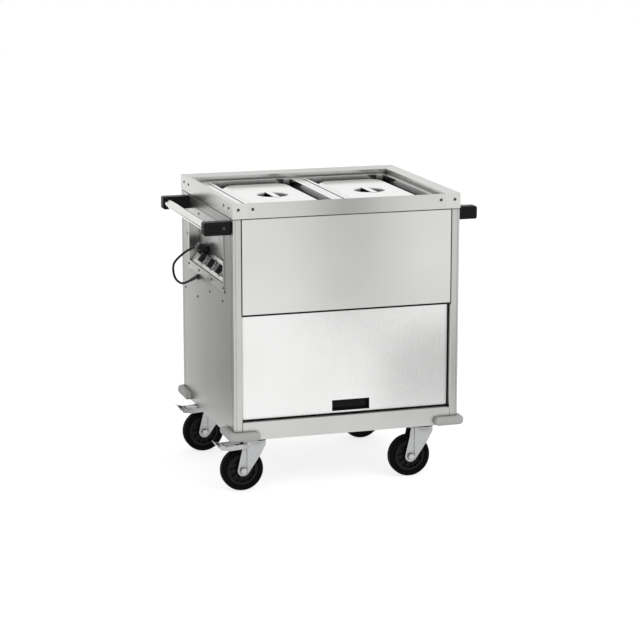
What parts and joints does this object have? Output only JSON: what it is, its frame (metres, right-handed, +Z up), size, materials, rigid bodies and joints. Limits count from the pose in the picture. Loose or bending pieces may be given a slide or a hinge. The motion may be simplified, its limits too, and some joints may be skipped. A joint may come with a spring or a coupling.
{
  "type": "hostess trolley",
  "caption": "Heated serving trolley: rimmed top with lidded pans in wells, front cupboard with lift-up door, recessed side controls, push handles, bumpers and swivel casters.",
  "frame": {"origin": "on the floor, under the middle of the body", "axes": "+Z up, front with the door faces -Y, controls on the -X side"},
  "size_m": [0.836, 0.634, 0.85],
  "materials": {
    "panel_steel": "brushed stainless sheet",
    "rim_steel": "brushed stainless, folded",
    "frame_steel": "brushed stainless tube and sheet",
    "deck_steel": "brushed stainless sheet",
    "well_steel": "satin stainless, deep drawn",
    "pan_steel": "polished stainless, deep drawn",
    "lid_steel": "polished stainless, pressed",
    "tub_steel": "bright stainless sheet",
    "liner_steel": "satin stainless sheet",
    "screw_steel": "bright zinc",
    "handle_steel": "satin stainless tube",
    "zinc_steel": "bright zinc-plated pressing",
    "heater_steel": "dark oxidised element",
    "black_plastic": "fine-grained moulding",
    "knob_plastic": "semi-gloss moulding",
    "hub_plastic": "ribbed moulding",
    "bumper_rubber": "light grey, non-marking",
    "tyre_rubber": "solid rubber",
    "cord_rubber": "smooth flexible cord",
    "plug_rubber": "moulded plug"
  },
  "bodies": {
    "trolley": {"base_frame": "frame_steel", "corner_posts": "frame_steel", "left_side_panel": "panel_steel", "right_side_panel": "panel_steel", "rear_panel": "panel_steel", "upper_front_panel": "panel_steel", "heat_baffle": "liner_steel", "door_tracks": "liner_steel", "cupboard_liner": "liner_steel", "cupboard_shelf": "liner_steel", "cupboard_heater": "heater_steel", "deck": "deck_steel", "top_rim": "rim_steel", "rim_corners": "rim_steel", "well_left": "well_steel", "well_right": "well_steel", "well_heaters": "heater_steel", "control_tub": "tub_steel", "thermostats": "black_plastic", "plug_holder": "zinc_steel", "cable_gland": "plug_rubber", "mains_cord": "cord_rubber", "mains_plug": "plug_rubber", "handle_tube_left": "handle_steel", "handle_tube_right": "handle_steel", "handle_brackets_left": "black_plastic", "handle_brackets_right": "black_plastic", "bumpers": "bumper_rubber", "body_screws": "screw_steel", "caster_plates": "zinc_steel", "caster_bolts": "screw_steel"},
    "door": {"door_panel": "panel_steel", "door_back": "liner_steel", "door_grip": "black_plastic", "door_shoes": "black_plastic"},
    "pan_left": {"pan_left": "pan_steel"},
    "pan_right": {"pan_right": "pan_steel"},
    "lid_left": {"lid_left": "lid_steel"},
    "lid_right": {"lid_right": "lid_steel"},
    "knob_1": {"knob_1": "knob_plastic"},
    "knob_2": {"knob_2": "knob_plastic"},
    "knob_3": {"knob_3": "knob_plastic"},
    "fork_fl": {"fork_fl": "zinc_steel", "axle_fl": "screw_steel"},
    "wheel_fl": {"hub_fl": "hub_plastic", "tyre_fl": "tyre_rubber"},
    "brake_fl": {"brake_pedal_fl": "zinc_steel"},
    "fork_fr": {"fork_fr": "zinc_steel", "axle_fr": "screw_steel"},
    "wheel_fr": {"hub_fr": "hub_plastic", "tyre_fr": "tyre_rubber"},
    "fork_rl": {"fork_rl": "zinc_steel", "axle_rl": "screw_steel"},
    "wheel_rl": {"hub_rl": "hub_plastic", "tyre_rl": "tyre_rubber"},
    "brake_rl": {"brake_pedal_rl": "zinc_steel"},
    "fork_rr": {"fork_rr": "zinc_steel", "axle_rr": "screw_steel"},
    "wheel_rr": {"hub_rr": "hub_plastic", "tyre_rr": "tyre_rubber"}
  },
  "joints": [
    {"name": "door_lift", "type": "slide", "parent": "trolley", "child": "door", "axis": [0, 0, 1], "range_m": [0, 0.25]},
    {"name": "knob_1_turn", "type": "hinge", "parent": "trolley", "child": "knob_1", "pos_m": [-0.32, 0.088, 0.6245], "axis": [-0.8258, 0, 0.564], "range_deg": [-270, 0]},
    {"name": "knob_2_turn", "type": "hinge", "parent": "trolley", "child": "knob_2", "pos_m": [-0.32, -0.009, 0.6245], "axis": [-0.8258, 0, 0.564], "range_deg": [-270, 0]},
    {"name": "knob_3_turn", "type": "hinge", "parent": "trolley", "child": "knob_3", "pos_m": [-0.32, -0.106, 0.6245], "axis": [-0.8258, 0, 0.564], "range_deg": [-270, 0]},
    {"name": "pan_left_lift", "type": "slide", "parent": "trolley", "child": "pan_left", "axis": [0, 0, 1], "range_m": [0, 0.15]},
    {"name": "lid_left_lift", "type": "slide", "parent": "pan_left", "child": "lid_left", "axis": [0, 0, 1], "range_m": [0, 0.2]},
    {"name": "pan_right_lift", "type": "slide", "parent": "trolley", "child": "pan_right", "axis": [0, 0, 1], "range_m": [0, 0.15]},
    {"name": "lid_right_lift", "type": "slide", "parent": "pan_right", "child": "lid_right", "axis": [0, 0, 1], "range_m": [0, 0.2]},
    {"name": "swivel_fl", "type": "hinge", "parent": "trolley", "child": "fork_fl", "pos_m": [-0.256, -0.224, 0.15], "axis": [0, 0, 1], "continuous": true},
    {"name": "roll_fl", "type": "hinge", "parent": "fork_fl", "child": "wheel_fl", "pos_m": [-0.298, -0.224, 0.0625], "axis": [0, 1, 0], "continuous": true},
    {"name": "brake_press_fl", "type": "hinge", "parent": "fork_fl", "child": "brake_fl", "pos_m": [-0.293, -0.224, 0.135], "axis": [0, -1, 0], "range_deg": [0, 12]},
    {"name": "swivel_fr", "type": "hinge", "parent": "trolley", "child": "fork_fr", "pos_m": [0.256, -0.224, 0.15], "axis": [0, 0, 1], "continuous": true},
    {"name": "roll_fr", "type": "hinge", "parent": "fork_fr", "child": "wheel_fr", "pos_m": [0.214, -0.224, 0.0625], "axis": [0, 1, 0], "continuous": true},
    {"name": "swivel_rl", "type": "hinge", "parent": "trolley", "child": "fork_rl", "pos_m": [-0.256, 0.224, 0.15], "axis": [0, 0, 1], "continuous": true},
    {"name": "roll_rl", "type": "hinge", "parent": "fork_rl", "child": "wheel_rl", "pos_m": [-0.298, 0.224, 0.0625], "axis": [0, 1, 0], "continuous": true},
    {"name": "brake_press_rl", "type": "hinge", "parent": "fork_rl", "child": "brake_rl", "pos_m": [-0.293, 0.224, 0.135], "axis": [0, -1, 0], "range_deg": [0, 12]},
    {"name": "swivel_rr", "type": "hinge", "parent": "trolley", "child": "fork_rr", "pos_m": [0.256, 0.224, 0.15], "axis": [0, 0, 1], "continuous": true},
    {"name": "roll_rr", "type": "hinge", "parent": "fork_rr", "child": "wheel_rr", "pos_m": [0.214, 0.224, 0.0625], "axis": [0, 1, 0], "continuous": true}
  ]
}
